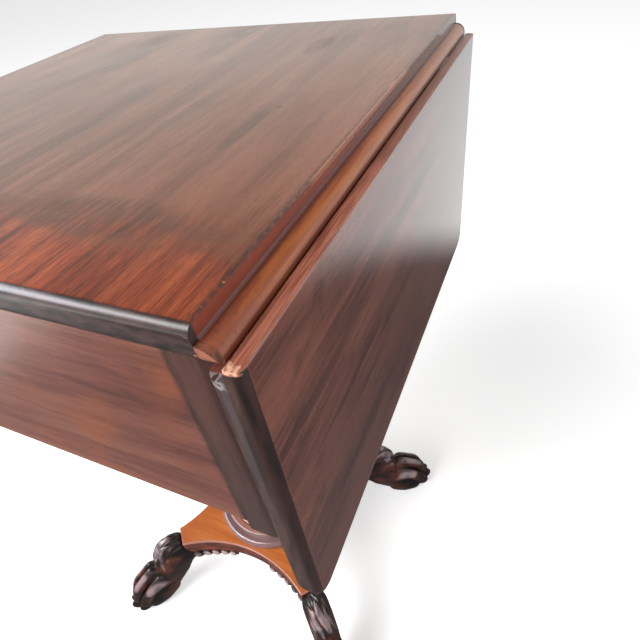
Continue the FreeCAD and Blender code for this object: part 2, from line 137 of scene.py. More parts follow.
class Finish(Tree):
    """One material: its nodes, and the place on the object that its patterns follow."""

    def __init__(self, name):
        self.material = bpy.data.materials.new(name)
        self.material.use_nodes = True
        super().__init__(self.material.node_tree)
        self.tree.nodes.clear()
        self.place = self.node("ShaderNodeTexCoord", out="Object")
        self.x = self.node("ShaderNodeSeparateXYZ", values={0: self.place}, out="X")
        self.y = Amount(self, self.x.socket.node.outputs["Y"])
        self.z = Amount(self, self.x.socket.node.outputs["Z"])

    def mix(self, under, over, share, blend="MIX"):
        """Colour over laid on colour under by a share from 0 to 1."""
        settings = {"data_type": "RGBA", "blend_type": blend, "clamp_factor": True}
        return self.node("ShaderNodeMix", settings, {0: share, 6: under, 7: over}, out=2)

    def shades(self, amount, *colours):
        """Even steps of colour as amount goes from 0 to 1."""
        last = len(colours) - 1
        stops = [(i / last, colour) for i, colour in enumerate(colours)]
        return self.node("ShaderNodeValToRGB", {"stops": stops}, {0: amount})

    def noise(self, sizes, seed, detail=2.0, rough=0.5):
        """Smooth random patches of the given sizes along X, Y and Z, about a half on average."""
        scale = tuple(1 / size for size in sizes)
        shift = (seed * 3.7, seed * 5.3, seed * 7.1)
        place = self.node("ShaderNodeMapping", values={0: self.place, 1: shift, 3: scale})
        values = {"Vector": place, "Scale": 1.0, "Detail": detail, "Roughness": rough}
        return self.node("ShaderNodeTexNoise", values=values)

    def streaks(self, along, width, length, seed, detail=2.0, rough=0.5):
        """Noise drawn out along the grain."""
        sizes = [width] * 3
        sizes[along] = length
        return self.noise(sizes, seed, detail, rough)

    def surface(self, colour, roughness, height=None, depth=0.0, **sockets):
        """The surface itself, with an optional relief of the given depth in metres."""
        values = {"Base Color": colour, "Roughness": roughness}
        if height is not None:
            values["Normal"] = self.node("ShaderNodeBump", values={"Height": height, "Distance": depth})
        for name, value in sockets.items():
            values[name.replace("_", " ").title().replace("Ior", "IOR")] = value
        shader = self.node("ShaderNodeBsdfPrincipled", values=values)
        self.link(shader, self.tree.nodes.new("ShaderNodeOutputMaterial").inputs["Surface"])
        return self.material


def dress(material, *names):
    """Give a material to every slot of the named pieces of the frame."""
    for name in names:
        slots = nodes[name].data.materials
        if not slots:
            slots.append(material)
        for i in range(len(slots)):
            slots[i] = material


def figured(finish, along, dark, main, bright, seed, ribbon=0.012, contrast=1.0):
    """Mahogany figure: ribbons across the grain, fine fibres in them, and slow patches."""
    spread = 0.17 / contrast
    slow = finish.streaks(along, ribbon * 3, ribbon * 12, seed, 2.0)
    ribbons = finish.streaks(along, ribbon, ribbon * 16, seed + 1, 3.0, 0.6)
    fibres = finish.streaks(along, ribbon / 9, ribbon * 3, seed + 2, 2.0, 0.6)
    shade = slow * 0.3 + ribbons * 0.42 + fibres * 0.28
    return finish.shades(shade.rise(0.5 - spread, 0.5 + spread), dark, main, bright)


platform_low, platform_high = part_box("platform")
platform_arris = 0.0022
rim_fade, rim_full = 0.0026, 0.0012
corner_cut = 0.0195
corner_reach = (2 * platform_high.x - corner_cut) / math.sqrt(2)
hollow_depth = 0.029
hollow_chord = platform_high.x - corner_cut
hollow_radius = (hollow_chord ** 2 + hollow_depth ** 2) / (2 * hollow_depth)
hollow_centre = platform_high.x - hollow_depth + hollow_radius


def inside_rim(finish):
    """Distance in from the platform's outline, a hollow on each side and a cut across each corner."""
    across, along = abs(finish.x), abs(finish.y)
    distance = corner_reach - (across + along) / math.sqrt(2)
    for towards, beside in ((across, along), (along, across)):
        gap = towards - hollow_centre
        squared = gap * gap + beside * beside
        distance = distance.least(squared.math("SQRT", squared) - hollow_radius)
    return distance


platform_finish = Finish("platform_polish")
wood = figured(platform_finish, X, paint(176, 86, 30), paint(194, 106, 42), paint(212, 128, 58), 3, 0.014)
tired = platform_finish.noise((0.08, 0.08, 0.08), 8, 0.0).rise(0.4, 0.65)
wood = platform_finish.mix(wood, paint(174, 86, 32), tired * 0.45)
rim_wear = platform_finish.noise((0.006, 0.006, 0.006), 18, 3.0).rise(0.25, 0.5)
rim = inside_rim(platform_finish).rise(rim_fade, rim_full) * rim_wear
wood = platform_finish.mix(wood, paint(172, 122, 110), rim * 0.85)
below = platform_high.z - platform_finish.z
grime = platform_finish.noise((0.02, 0.02, 0.006), 14, 3.0).rise(0.3, 0.6)
side_wood = platform_finish.mix(paint(136, 62, 38), paint(84, 42, 32), grime)
wood = platform_finish.mix(wood, side_wood, below.rise(platform_arris, 2 * platform_arris))
rubbing = platform_finish.noise((0.008, 0.008, 0.02), 16, 3.0).rise(0.3, 0.55)
rubbed_arris = below.band(0.0008, platform_arris, 0.0005) * rubbing
wood = platform_finish.mix(wood, paint(178, 118, 100), rubbed_arris * 0.85)
dull = platform_finish.noise((0.02, 0.02, 0.02), 5) * 0.16 + 0.3
fine = platform_finish.streaks(X, 0.0006, 0.008, 6)
dress(platform_finish.surface(wood, dull, fine, 0.00003, coat_weight=0.2, coat_roughness=0.15), "platform")

# Legs: each is sawn and carved from solid mahogany as a lion's leg, a furred knee against the
# platform's canted corner and a paw with four toes below it, stained nearly black and wax
# polished. A dowel and glue hold it to the corner.
corner_names = ("back_right", "front_right", "front_left", "back_left")
quarter_turn = math.radians(90)
sharp_edge = math.radians(60)
paw_reach = 0.272
leg_width = 0.044
# Each row is one section of the leg: its top and its underside, as shares of the reach past the
# corner and of the platform's height, then shares for its width and for the grooves.
leg_shares = ((-0.23, 0.86, -0.25, 0.76, 0.36, 0.0), (-0.11, 0.91, -0.11, 0.64, 0.62, 0.0),
              (0.0, 0.98, 0.0, 0.56, 0.78, 0.0), (0.05, 1.045, 0.05, 0.49, 0.82, 0.0),
              (0.17, 1.06, 0.10, 0.41, 0.83, 0.0), (0.31, 1.0, 0.16, 0.34, 0.82, 0.0),
              (0.41, 0.85, 0.22, 0.28, 0.79, 0.0), (0.46, 0.70, 0.28, 0.22, 0.75, 0.02),
              (0.54, 0.71, 0.34, 0.165, 0.84, 0.08), (0.65, 0.63, 0.40, 0.11, 0.93, 0.11),
              (0.77, 0.505, 0.46, 0.066, 0.98, 0.12), (0.875, 0.38, 0.51, 0.036, 1.0, 0.11),
              (0.945, 0.27, 0.55, 0.018, 0.97, 0.13), (0.985, 0.16, 0.58, 0.008, 0.88, 0.15),
              (0.97, 0.06, 0.60, 0.003, 0.70, 0.15), (0.92, 0.0, 0.62, 0.0, 0.48, 0.14))
leg_span = paw_reach - corner_reach
centre_share = 0.45
steps_between_rows = 14
steps_around = 240

# Where the carving lies along the leg, counted in rows, and round it, in degrees.
cuff_row, knuckle_row, tip_row = 7.0, 9.9, 12.4
middle_toe_shift, outer_toe_shift = 0.35, -0.25
toe_count = 4
tip_spread, cuff_spread = 40, 56
tuft_row, tuft_length, tuft_spread = 3.3, 1.3, 36
cuff_tuft_row, cuff_tuft_length = cuff_row - 1.4, 0.8
heel_row, pad_row, pad_end_row = 8.6, 9.4, 11.0

# Its heights and depths, as shares of the distance from the section's centre.
groove_share = 0.09
groove_deep, ridge_proud = 1.7, 0.5
knuckle_share, dip_share = 0.075, 0.05
nick_share, claw_share = 0.085, 0.05
cuff_roll_share, cuff_notch_share = 0.04, 0.03
fur_share, tuft_share = 0.04, 0.03
pad_share = 0.15


def hump(place, middle, width):
    """1 at the middle, fading smoothly to nothing about two widths away."""
    return math.exp(-((place - middle) / width) ** 2)


def ramp(place, low, high):
    """0 at low, 1 at high and a straight rise between; low above high turns it round."""
    return min(max((place - low) / (high - low), 0.0), 1.0)


def smooth(place, low, high):
    """The same rise with soft ends."""
    share = ramp(place, low, high)
    return share * share * (3 - 2 * share)


def row_at(place):
    """The leg's section at a place between two rows, on smooth curves through them all."""
    i = min(int(place), len(leg_shares) - 2)
    t = place - i
    four = (leg_shares[min(max(k, 0), len(leg_shares) - 1)] for k in range(i - 1, i + 3))
    return [(2 * b + (c - a) * t + (2 * a - 5 * b + 4 * c - d) * t ** 2 + (3 * (b - c) - a + d) * t ** 3) / 2
            for a, b, c, d in zip(*four)]


def toe_ridge(place, degrees):
    """The toe that a point lies on, or None, and its height from 0 in a groove to 1 on a ridge."""
    turned_by = 90 - degrees if degrees <= 270 else 450 - degrees
    widening = smooth(place, knuckle_row + 0.4, cuff_row - 0.6)
    toe_spread = tip_spread + (cuff_spread - tip_spread) * widening
    fan = toe_count / 2 * toe_spread
    if abs(turned_by) < fan:
        toe, across = divmod(turned_by / toe_spread + toe_count / 2, 1)
        return toe, 1 - abs(2 * across - 1) ** 2.6
    return None, 1 - ramp(abs(turned_by), 180, fan) ** 5


def fur_strand(place, degrees):
    """The carved locks of fur, which lean along the leg: about 0 on average."""
    strand = noise.noise(Vector((degrees / 13 + 0.9 * place, place * 0.5 - degrees / 70, 3.1)))
    return strand + 0.4 * noise.noise(Vector((degrees / 5.5 + 1.6 * place, place * 0.8, 8.4)))


def carved_point(place, degrees):
    """A point on the leg at +X, and its colour share from 0 to 1: wear and painted highlight where the
    carving is proud, painted shade in its hollows.
    """
    top_out, top_up, low_out, low_up, wide, groove = row_at(place)
    top = Vector((corner_reach + top_out * leg_span, 0, top_up * platform_high.z))
    low = Vector((corner_reach + low_out * leg_span, 0, low_up * platform_high.z))
    centre = low.lerp(top, centre_share)
    angle = math.radians(degrees)
    arch = max(math.sin(angle), 0.0)
    sole = math.sin(angle) ** 4 if degrees > 180 else 0.0

    toe, ridge = toe_ridge(place, degrees)
    on_toes = toe is not None
    toes = smooth(place, cuff_row - 0.3 - 1.8 * (1 - arch), cuff_row + 2.2)
    joint = knuckle_row + (middle_toe_shift if toe in (1, 2) else outer_toe_shift)
    paw = ridge * toes if on_toes else 0.0
    ridge_factor = groove_deep + (ridge_proud if on_toes else 0.0)
    swell = max(groove, groove_share * toes) * (ridge * ridge_factor - groove_deep)
    swell += paw * (knuckle_share * hump(place, joint, 0.7) - dip_share * hump(place, joint + 1.4, 0.7)
                    - nick_share * hump(place, tip_row, 0.4) + claw_share * hump(place, tip_row + 0.9, 0.5))
    swell += arch * (cuff_roll_share * hump(place, cuff_row - 0.8, 0.5)
                     - cuff_notch_share * hump(place, cuff_row + 0.05, 0.3))

    strand = fur_strand(place, degrees)
    knee = ramp(place, 1.5, 3.0) * ramp(place, cuff_row + 0.1, cuff_row - 0.8)
    fur = knee * (0.3 + 0.7 * arch) * strand
    zigzag = abs(2 * ((degrees / tuft_spread) % 1) - 1) + 0.5 * strand
    tuft_line = tuft_row + tuft_length * zigzag
    cuff_line = cuff_tuft_row + cuff_tuft_length * zigzag
    # Painted shade: the knee darkens up to the platform above a zigzag line of tufts, and the top of the cuff
    # darkens in its tufts.
    shade_near_platform = ramp(place, tuft_line + 0.3, tuft_line - 0.3) * (0.4 + 0.6 * arch)
    cuff_tuft_shade = ramp(place, cuff_line - 0.3, cuff_line + 0.3) * arch * (1 - toes)
    swell += fur_share * fur - tuft_share * hump(place, tuft_line, 0.28) * arch
    pad = smooth(place, heel_row - 1.0, heel_row) * smooth(place, pad_end_row + 1.5, pad_end_row)
    swell += pad_share * sole * pad

    up = top - centre if degrees <= 180 else low - centre
    rim = Vector((0, wide * leg_width / 2 * math.cos(angle), 0)) + up * abs(math.sin(angle))
    point = centre + rim * (1 + swell)
    point.z = max(point.z, 0.0)
    # Colour share with painted light: the top of the knee lighter, painted highlight on the toe ridges up to
    # the knuckles and on the pad under the paw, painted shade in the grooves, the cuff's crease and each
    # toe's nick.
    plain = 0.58 + 0.38 * arch + 0.35 * fur - 0.9 * shade_near_platform - 0.6 * cuff_tuft_shade
    toe_painted_light = ridge * (1.0 if on_toes else 0.35) * (1 - 0.4 * ramp(place, joint + 0.2, joint + 1.0))
    wear_and_painted_light = plain + (toe_painted_light - plain) * toes + 0.5 * sole * hump(place, pad_row, 0.9)
    wear_and_painted_light -= 0.2 * hump(place, cuff_row + 0.05, 0.3) * arch + 0.5 * paw * hump(place, tip_row, 0.3)
    return point, min(max(wear_and_painted_light, 0.0), 1.0)


def plain_object(name, mesh):
    made = bpy.data.objects.new(name, mesh)
    bpy.context.scene.collection.objects.link(made)
    return made


def carved_leg():
    """Closed mesh of the leg at +X: rings of points along it, and a flat cap at each end."""
    rings = (len(leg_shares) - 1) * steps_between_rows + 1
    points, wear_and_light_values = [], []
    for ring in range(rings):
        for step in range(steps_around):
            point, wear_and_painted_light = carved_point(ring / steps_between_rows, step * 360 / steps_around)
            points.append(point)
            wear_and_light_values.append(wear_and_painted_light)
    faces = [tuple(range(steps_around))]
    for ring in range(rings - 1):
        for step in range(steps_around):
            a, b = ring * steps_around + step, ring * steps_around + (step + 1) % steps_around
            faces.append((b, a, a + steps_around, b + steps_around))
    faces.append(tuple(reversed(range((rings - 1) * steps_around, rings * steps_around))))
    mesh = bpy.data.meshes.new("carved_leg")
    mesh.from_pydata(points, [], faces)
    # Each point keeps its share of wear and painted light and shade for the finish.
    mesh.attributes.new("carved_height", "FLOAT", "POINT").data.foreach_set("value", wear_and_light_values)
    return mesh


def seated(mesh, seat_name):
    """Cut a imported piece's own shape out of a mesh, where the two are fitted together."""
    same_point = 0.000001
    seat = bmesh.new()
    seat.from_mesh(nodes[seat_name].data)
    bmesh.ops.remove_doubles(seat, verts=seat.verts, dist=same_point)
    cutter_mesh = bpy.data.meshes.new("cutter")
    seat.to_mesh(cutter_mesh)
    seat.free()
    cutter = plain_object("cutter", cutter_mesh)
    whole = plain_object("whole", mesh)
    cut = whole.modifiers.new("cut", "BOOLEAN")
    cut.operation = "DIFFERENCE"
    cut.object = cutter
    fitted = bpy.data.meshes.new_from_object(whole.evaluated_get(bpy.context.evaluated_depsgraph_get()))
    bpy.data.objects.remove(whole)
    bpy.data.objects.remove(cutter)
    return fitted


def carved_finish(name, highlight_dark, highlight_light, share):
    """Nearly black stain with red-brown patches, lilac grey painted highlight and rubbed wear where the
    carving is proud, and near black painted shade in its hollows.
    """
    finish = Finish(name)
    wear_and_painted_light = finish.node("ShaderNodeAttribute", {"attribute_name": "carved_height"}, out="Fac")
    patches = finish.noise((0.02, 0.02, 0.016), 4, 3.0)
    stain_and_painted_light = finish.mix(paint(38, 20, 17), paint(86, 38, 24), patches.rise(0.42, 0.62))
    # Painted highlight with wear: lilac grey on what is proud.
    rubbed_and_highlight = finish.mix(highlight_dark, highlight_light, patches.rise(0.4, 0.6))
    stain_and_painted_light = finish.mix(stain_and_painted_light, rubbed_and_highlight, wear_and_painted_light.rise(0.76, 1.0) * patches.rise(0.25, 0.5) * share)
    # Painted shade: near black in the grooves and hollows.
    stain_and_painted_light = finish.mix(paint(9, 7, 7), stain_and_painted_light, wear_and_painted_light.rise(0.02, 0.5))
    tool_marks = finish.noise((0.0016, 0.0016, 0.005), 9, 2.0)
    dull = patches * 0.16 + 0.24
    return finish.surface(stain_and_painted_light, dull, tool_marks, 0.0002, coat_weight=0.4, coat_roughness=0.28)


# The two lilac greys are painted highlight as well as wear.
carving = carved_finish("carved_polish", paint(124, 112, 122), paint(164, 142, 146), 0.85)
leg_mesh = carved_leg()
leg_mesh.transform(Matrix.Rotation(-quarter_turn / 2, 4, "Z"))
leg_mesh = seated(leg_mesh, "platform")
leg_mesh.materials.clear()
leg_mesh.materials.append(carving)
leg_mesh.shade_smooth()
leg_mesh.set_sharp_from_angle(angle=sharp_edge)
for i, corner in enumerate(corner_names):
    mesh = leg_mesh.copy()
    mesh.transform(Matrix.Rotation(quarter_turn * i, 4, "Z"))
    leg = plain_object("carved_" + corner + "_leg", mesh)
    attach(leg, "frame")
    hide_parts(corner + "_leg")

# Wing brackets: thin boards glued under the hollow sides beside each leg, of the same stained
# mahogany, carved into a row of leaning lobes that shrink towards the middle of the side.
wing_start, wing_end = 0.027, 0.093
wing_back, wing_face = 0.012, 0.0012
board_share, board_back_share = 0.92, 0.8
board_steps = 24
lobe_taper, lobe_width_share, lobe_depth_share = 0.16, 0.98, 1.04
first_angle = math.asin(wing_start / hollow_radius)
last_angle = math.asin(wing_end / hollow_radius)
wing_sizes = {"Radius": hollow_radius, "Centre": hollow_centre, "Level": platform_low.z,
              "First angle": first_angle, "Last angle": last_angle, "Lobes": 5.0, "Tip depth": 0.013,
              "Depth": 0.0232, "Proud": 0.0055, "Sunk": 0.0027, "Lean": math.radians(17)}
# Brighter lilac greys for the lobes' painted highlight.
wing_carving = carved_finish("wing_polish", paint(158, 138, 142), paint(190, 166, 166), 0.95)


def wing_board():
    """The plain board behind the lobes: a ring of four corners at each step along the hollow."""
    board = bmesh.new()
    rings = []
    for i in range(board_steps + 1):
        share = i / board_steps
        angle = first_angle + (last_angle - first_angle) * share
        depth = wing_sizes["Tip depth"] + (wing_sizes["Depth"] - wing_sizes["Tip depth"]) * share
        front, back = depth * board_share, depth * board_share * board_back_share
        ring = []
        for inset, drop in ((wing_face, 0), (wing_face, front), (wing_back, back), (wing_back, 0)):
            radius = hollow_radius + inset
            ring.append(board.verts.new((radius * math.sin(angle), radius * math.cos(angle) - hollow_centre,
                                         platform_low.z - drop)))
        rings.append(ring)
    board.faces.new(rings[0])
    board.faces.new(reversed(rings[-1]))
    for before, after in zip(rings, rings[1:]):
        for i in range(4):
            board.faces.new((before[i], after[i], after[(i + 1) % 4], before[(i + 1) % 4]))
    bmesh.ops.recalc_face_normals(board, faces=board.faces)
    mesh = bpy.data.meshes.new("wing_board")
    board.to_mesh(mesh)
    board.free()
    return mesh


def lobe_rule():
    """Geometry tree that sets a row of carved lobes on a wing's board."""
    rule = Tree(bpy.data.node_groups.new("wing_lobes", "GeometryNodeTree"))
    sockets = rule.tree.interface
    sockets.new_socket("Board", in_out="INPUT", socket_type="NodeSocketGeometry")
    for name in wing_sizes:
        sockets.new_socket(name, in_out="INPUT", socket_type="NodeSocketFloat")
    sockets.new_socket("Wing", in_out="OUTPUT", socket_type="NodeSocketGeometry")
    given = rule.node("NodeGroupInput", out="Board")
    size = {name: Amount(rule, given.socket.node.outputs[name]) for name in wing_sizes}

    def combined(x, y, z):
        return rule.node("ShaderNodeCombineXYZ", values={0: x, 1: y, 2: z})

    ball = rule.node("GeometryNodeMeshUVSphere", values={"Segments": 28, "Rings": 18})
    parts = rule.node("ShaderNodeSeparateXYZ", values={0: rule.node("GeometryNodeInputPosition")})
    along, out, up = (Amount(rule, socket) for socket in parts.socket.node.outputs)
    pear = combined(along * (1 - up * lobe_taper), out, up)
    lobe = rule.node("GeometryNodeSetPosition", values={"Geometry": ball, "Position": pear})
    lobe = rule.node("GeometryNodeSetShadeSmooth", values={0: lobe})
    # The outer half of each lobe carries the painted highlight; the rest gets near black painted shade, which
    # darkens the gaps.
    wear_and_painted_light = {"data_type": "FLOAT", "domain": "POINT"}
    lobe = rule.node("GeometryNodeStoreNamedAttribute", wear_and_painted_light,
                     {"Geometry": lobe, "Name": "carved_height", "Value": out.rise(-0.05, -0.85)})

    share = (rule.node("GeometryNodeInputIndex") + 0.5) / size["Lobes"]
    angle = size["First angle"] + (size["Last angle"] - size["First angle"]) * share
    half_depth = (size["Tip depth"] + (size["Depth"] - size["Tip depth"]) * share) * 0.5
    radius = size["Radius"] + size["Sunk"]
    x = radius * angle.math("SINE", angle)
    y = radius * angle.math("COSINE", angle) - size["Centre"]
    place = combined(x, y, size["Level"] - half_depth)
    points = rule.node("GeometryNodeMeshLine", values={"Count": int(wing_sizes["Lobes"])})
    points = rule.node("GeometryNodeSetPosition", values={"Geometry": points, "Position": place})
    half_width = (size["Last angle"] - size["First angle"]) * size["Radius"] / size["Lobes"] * 0.5
    row = {"Points": points, "Instance": lobe, "Rotation": combined(0, size["Lean"], 0 - angle),
           "Scale": combined(half_width * lobe_width_share, size["Proud"], half_depth * lobe_depth_share)}
    row = rule.node("GeometryNodeInstanceOnPoints", values=row)
    whole = rule.node("GeometryNodeJoinGeometry", values={0: given})
    rule.link(row, whole.socket.node.inputs[0])
    whole = rule.node("GeometryNodeRealizeInstances", values={0: whole})
    whole = rule.node("GeometryNodeSetMaterial", values={"Geometry": whole, "Material": wing_carving})
    rule.link(whole, rule.tree.nodes.new("NodeGroupOutput").inputs[0])
    return rule.tree


def grown(mesh, rule, sizes):
    """The plain mesh that a geometry tree makes of a mesh with the given sizes."""
    base = plain_object("base", mesh)
    growth = base.modifiers.new("growth", "NODES")
    growth.node_group = rule
    for item in rule.interface.items_tree:
        if item.in_out == "INPUT" and item.name in sizes:
            growth[item.identifier] = sizes[item.name]
    made = bpy.data.meshes.new_from_object(base.evaluated_get(bpy.context.evaluated_depsgraph_get()))
    bpy.data.objects.remove(base)
    return made


wing_mesh = grown(wing_board(), lobe_rule(), wing_sizes)
mirrored = Matrix.Rotation(quarter_turn, 4, "Z") @ Matrix.Scale(-1, 4, (1, 0, 0))
for i, corner in enumerate(corner_names):
    pair = bmesh.new()
    for side in (Matrix.Identity(4), mirrored):
        one = wing_mesh.copy()
        one.transform(Matrix.Rotation(quarter_turn * i, 4, "Z") @ side)
        if side is mirrored:
            one.flip_normals()
        pair.from_mesh(one)
    mesh = bpy.data.meshes.new("carved_" + corner + "_wings")
    pair.to_mesh(mesh)
    pair.free()
    mesh.materials.append(wing_carving)
    wings = plain_object("carved_" + corner + "_wings", mesh)
    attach(wings, "frame")
    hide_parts(corner + "_wings")

# Column, collar and cap: turned on a lathe from mahogany, as the drawers' knobs are. The column's
# tenons pass through the collar into the platform and up into the cap, which four screws hold
# under the case.
collar_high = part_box("column_collar")[1]
bloom_sheen_full, bloom_sheen_end = 0.022, 0.042
dome_height = 0.008
turned_finish = Finish("turned_polish")
above = turned_finish.z - platform_high.z
wood = figured(turned_finish, Z, paint(66, 28, 20), paint(108, 52, 34), paint(150, 80, 52), 21, 0.014, 0.8)
rings = turned_finish.noise((0.5, 0.5, 0.02), 2, 1.0).rise(0.5, 0.8)
wood = turned_finish.mix(wood, paint(50, 28, 24), rings * 0.4)
# Grey bloom with painted sheen: the column's foot and collar grey up to a little above the platform.
bloom_and_sheen = above.rise(bloom_sheen_end, bloom_sheen_full)
wood = turned_finish.mix(wood, paint(128, 102, 104), bloom_and_sheen * 0.85)
# Painted highlight: a pale pink band on the dome above the collar.
dome_highlight = turned_finish.z.band(collar_high.z + 0.0005, collar_high.z + dome_height, 0.001)
wood = turned_finish.mix(wood, paint(196, 134, 112), dome_highlight)
seat_dirt = above.rise(0.0016, 0.0)
wood = turned_finish.mix(wood, paint(40, 28, 28), seat_dirt)
dull = turned_finish.noise((0.02, 0.02, 0.003), 5) * 0.1 + 0.2
dress(turned_finish.surface(wood, dull, coat_weight=0.5, coat_roughness=0.1),
      "turned_column", "column_collar", "column_cap", "upper_drawer_knobs", "lower_drawer_knobs")

# Case: four solid posts with rounded corners, veneered panels let into them on three sides and
# veneered rails round the drawers on the fourth. What is inside, the lopers, the drawers' boards
# behind their fronts and the legs' dowels are of raw poplar.
post_low, post_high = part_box("back_right_post")
post_names = [corner + "_post" for corner in corner_names]


def pores(finish, along, width, length, seed, low=0.6, high=0.72):
    """The short open vessels of mahogany, dark with old polish: 1 in a pore and 0 beside it."""
    return finish.streaks(along, width, length, seed, 1.0).rise(low, high)


def case_finish(name, along, seed, dark, main, bright, blot):
    """Veneer with patches of a warmer colour: its finish, colour, roughness and relief."""
    finish = Finish(name)
    wood = figured(finish, along, dark, main, bright, seed, 0.014)
    glow = finish.noise((0.06, 0.06, 0.05), seed + 5, 2.0).rise(0.5, 0.72)
    wood = finish.mix(wood, blot, glow * 0.5)
    holes = pores(finish, along, 0.0005, 0.006, seed + 7)
    wood = finish.mix(wood, paint(48, 24, 20), holes * 0.4)
    dull = finish.noise((0.03, 0.03, 0.03), seed) * 0.15 + 0.26
    return finish, wood, dull, finish.streaks(along, 0.0006, 0.01, seed + 3)


def case_polish(finish, wood, dull, relief, *names):
    """Dress the named pieces in a veneer under one thin coat of polish."""
    dress(finish.surface(wood, dull, relief, 0.00005, coat_weight=0.3, coat_roughness=0.2), *names)


finish, wood, dull, relief = case_finish("panel_polish", X, 31, paint(84, 44, 37), paint(116, 68, 56),
                                         paint(136, 86, 66), paint(148, 78, 40))
wander = finish.noise((0.004, 0.004, 0.012), 37, 3.0) * 0.003
# Painted shadow: a dark line down each end of the panel, beside the posts.
seam_shadow = (abs(finish.x) + wander).rise(post_low.x - 0.006, post_low.x - 0.001)
wood = finish.mix(wood, paint(40, 30, 30), seam_shadow * 0.8)
case_polish(finish, wood, dull, relief, "back_panel")

finish, wood, dull, relief = case_finish("side_panel_polish", Y, 35, paint(84, 42, 34), paint(120, 68, 54),
                                         paint(148, 90, 66), paint(150, 84, 52))
case_polish(finish, wood, dull, relief, "right_side_panel", "left_side_panel")

finish, wood, dull, relief = case_finish("rail_polish", X, 41, paint(84, 40, 30), paint(124, 66, 46),
                                         paint(150, 90, 62), paint(150, 84, 52))
case_polish(finish, wood, dull, relief, "top_rail", "drawer_blade", "bottom_rail",
            "upper_drawer_front", "lower_drawer_front")

finish, wood, dull, relief = case_finish("post_polish", Z, 47, paint(46, 27, 25), paint(76, 46, 40),
                                         paint(98, 60, 50), paint(92, 40, 28))
grey = finish.z.rise(post_high.z - 0.05, post_low.z)
wood = finish.mix(wood, paint(64, 50, 46), grey * 0.7)
wander = finish.noise((0.004, 0.004, 0.03), 49) * 0.004
# Painted shadow: the post is darkened along its edge beside the panel.
edge_shadow = (abs(finish.x) + wander).rise(post_low.x + 0.0085, post_low.x + 0.004)
wood = finish.mix(wood, paint(34, 24, 24), edge_shadow * 0.85)
case_polish(finish, wood, dull, relief, *post_names)

finish = Finish("raw_poplar")
wood = figured(finish, Y, paint(150, 118, 76), paint(182, 150, 104), paint(200, 172, 126), 51, 0.01)
drawer_boards = [level + "_drawer_" + part for level in ("lower", "upper")
                 for part in ("right_side", "left_side", "back", "bottom")]
dress(finish.surface(wood, 0.7, finish.streaks(Y, 0.0006, 0.01, 3), 0.0001), "case_bottom",
      "drawer_runners", "drawer_guides", "glue_blocks", "loper_carrier", "loper_channel_walls",
      "right_loper", "left_loper", "right_loper_peg", "left_loper_peg", "leg_dowels", *drawer_boards)

# Top: a mahogany board with rounded ends, and on each side a small step and the quarter round
# of a rule joint. Blocks glued inside the case hold it, and years of wear show on its arrises.
top_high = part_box("table_top")[1]
flat_half = 0.203
step_height = 0.008
ovolo_reach = 0.0085
glow_start, glow_full = -0.094, -0.146
fade_length = 0.03


def spot(finish, x, y, half_x, half_y):
    """1 in the middle of an oval mark on a level face, falling to 0 at its rim."""
    across, along = (finish.x - x) / half_x, (finish.y - y) / half_y
    return (across * across + along * along).rise(1.0, 0.3)


top = Finish("top_polish")
past_flat = abs(top.x) - flat_half
below = top_high.z - top.z
calm = figured(top, Y, paint(88, 50, 38), paint(128, 79, 60), paint(158, 105, 80), 61, 0.016)
fiery = figured(top, Y, paint(88, 32, 14), paint(160, 69, 35), paint(204, 106, 60), 67, 0.007)
warmth = (top.y + top.noise((0.05, 0.012, 0.05), 64, 3.0) * 0.08).rise(glow_start, glow_full)
wood = top.mix(calm, fiery, warmth)
# Painted dark reflection: a dark brown band on the left, where the calm wood turns fiery.
dark_reflection_band = warmth * (1.0 - warmth) * top.x.rise(0.16, 0.04)
wood = top.mix(wood, paint(66, 41, 34), dark_reflection_band * 1.6)
shadows = top.streaks(Y, 0.014, 0.08, 68, 4.0, 0.6).rise(0.54, 0.74)
wood = top.mix(wood, paint(52, 30, 24), shadows * 0.3)
# A lighter pinkish tan zone on the right part of the top, from near the front to past the middle.
lighter_patch = top.x.rise(0.05, 0.15) * top.y.rise(-0.19, -0.12) * top.y.rise(0.14, 0.02)
lighter_patch = lighter_patch * (0.3 + 0.3 * top.streaks(Y, 0.012, 0.09, 60, 3.0).rise(0.4, 0.6))
wood = top.mix(wood, paint(160, 104, 82), lighter_patch)
short_pores = pores(top, Y, 0.0004, 0.006, 66, 0.55, 0.68)
wood = top.mix(wood, paint(48, 22, 14), short_pores * (0.3 + 0.3 * warmth))

grain_edge = top.noise((0.002, 0.004, 0.002), 69, 3.0)
dark_corner = spot(top, 0.19, -0.19, 0.06, 0.06)
long_stain = spot(top, 0.1352, -0.05, 0.007, 0.036)
near_stain = spot(top, 0.115, -0.152, 0.06, 0.02) * top.streaks(Y, 0.003, 0.03, 62, 2.0).rise(0.3, 0.6)
burn = spot(top, 0.1417, -0.0163, 0.0024, 0.0014) * grain_edge.rise(0.35, 0.5)
faded = 0.0
for x, y, half_x in ((-0.09, 0.164, 0.02), (0.0065, 0.18, 0.014), (0.11, 0.12, 0.013)):
    faded = spot(top, x, y, half_x, fade_length).most(faded)
faded = faded * top.noise((0.008, 0.012, 0.008), 80, 2.0).rise(0.3, 0.55)
arris_dirt = past_flat.rise(-0.0042, -0.0008) * (0.4 + 0.6 * grain_edge.rise(0.35, 0.6))
wood = top.mix(wood, paint(88, 48, 36), dark_corner * 0.25)
wood = top.mix(wood, paint(52, 38, 34), long_stain * 0.45)
wood = top.mix(wood, paint(60, 34, 26), near_stain * 0.5)
wood = top.mix(wood, paint(62, 44, 38), faded * 0.4)
wood = top.mix(wood, paint(22, 16, 14), burn)
wood = top.mix(wood, paint(46, 33, 29), arris_dirt * 0.75)

